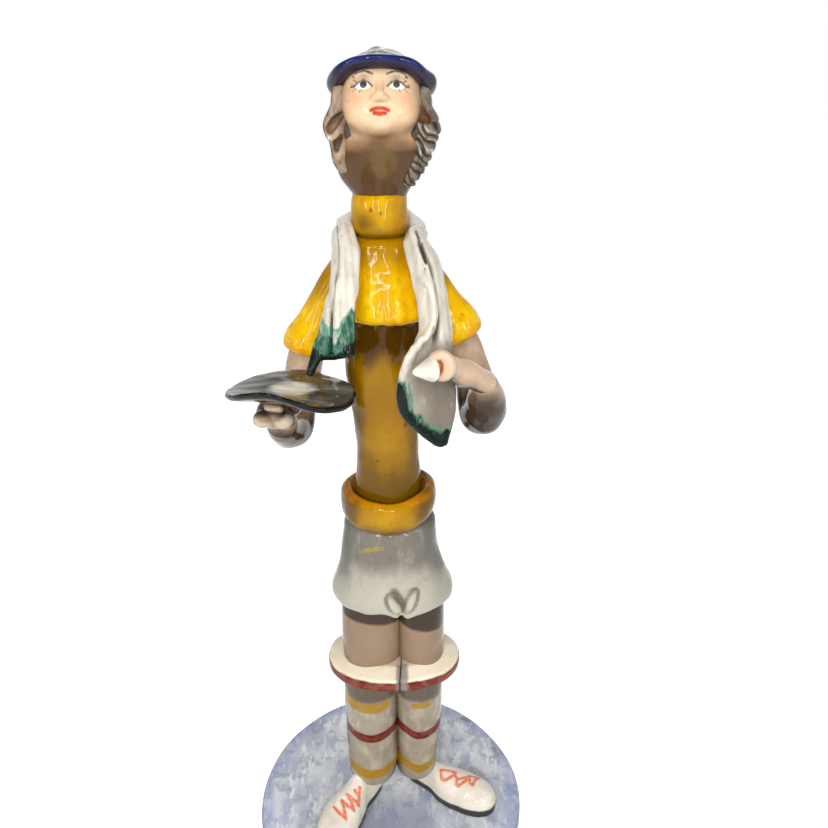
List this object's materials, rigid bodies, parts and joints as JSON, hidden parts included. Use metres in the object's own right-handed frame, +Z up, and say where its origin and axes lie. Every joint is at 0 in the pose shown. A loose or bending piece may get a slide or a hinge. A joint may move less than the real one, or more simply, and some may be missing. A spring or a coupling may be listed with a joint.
{
  "type": "ceramic figurine",
  "caption": "Hand-built glazed ceramic figurine: a standing figure looks up from under a small cap, with a scarf, a dish on one hand and a small cone in the other, on a round slab.",
  "frame": {"origin": "centre of the round slab's underside", "axes": "+Z up along the standing figure, the figure faces -Y, its right hand is on the -X side"},
  "size_m": [0.11, 0.11, 0.2995],
  "materials": {
    "slab_glaze": "glossy glaze, mottled lavender blue brushwork over white",
    "shoe_glaze": "glossy cream white glaze with painted orange laces",
    "sock_glaze": "glossy cream glaze with painted yellow and red stripes",
    "cuff_glaze": "glossy cream glaze with a painted brick red edge",
    "skin_glaze": "glossy flesh coloured glaze",
    "shorts_glaze": "glossy white glaze, thin and grey where it pools",
    "sweater_glaze": "glossy yellow glaze, ochre where it is thin",
    "dish_glaze": "glossy dark grey glaze with a cream centre",
    "cone_glaze": "glossy white glaze",
    "scarf_glaze": "glossy off-white glaze with brushed green ends",
    "face_glaze": "glossy flesh coloured glaze with painted features",
    "hair_glaze": "glossy tan glaze with black and grey strokes",
    "crown_glaze": "glossy olive grey glaze with light and dark strokes",
    "brim_glaze": "glossy cobalt blue glaze"
  },
  "bodies": {
    "root": {"base_disc": "slab_glaze", "right_shoe": "shoe_glaze", "left_shoe": "shoe_glaze", "right_sock": "sock_glaze", "left_sock": "sock_glaze", "right_thigh": "skin_glaze", "left_thigh": "skin_glaze", "right_sock_cuff": "cuff_glaze", "left_sock_cuff": "cuff_glaze", "shorts": "shorts_glaze", "sweater_hem": "sweater_glaze", "sweater_trunk": "sweater_glaze", "sweater_chest": "sweater_glaze", "turtleneck_collar": "sweater_glaze", "right_sleeve": "sweater_glaze", "left_sleeve": "sweater_glaze", "right_arm": "skin_glaze", "left_arm": "skin_glaze", "right_hand": "skin_glaze", "left_hand": "skin_glaze", "dish": "dish_glaze", "held_cone": "cone_glaze", "scarf": "scarf_glaze", "head": "face_glaze", "hair_back": "hair_glaze", "hair_right_curls": "hair_glaze", "hair_left_locks": "hair_glaze", "cap_crown": "crown_glaze", "cap_brim": "brim_glaze"}
  },
  "joints": []
}
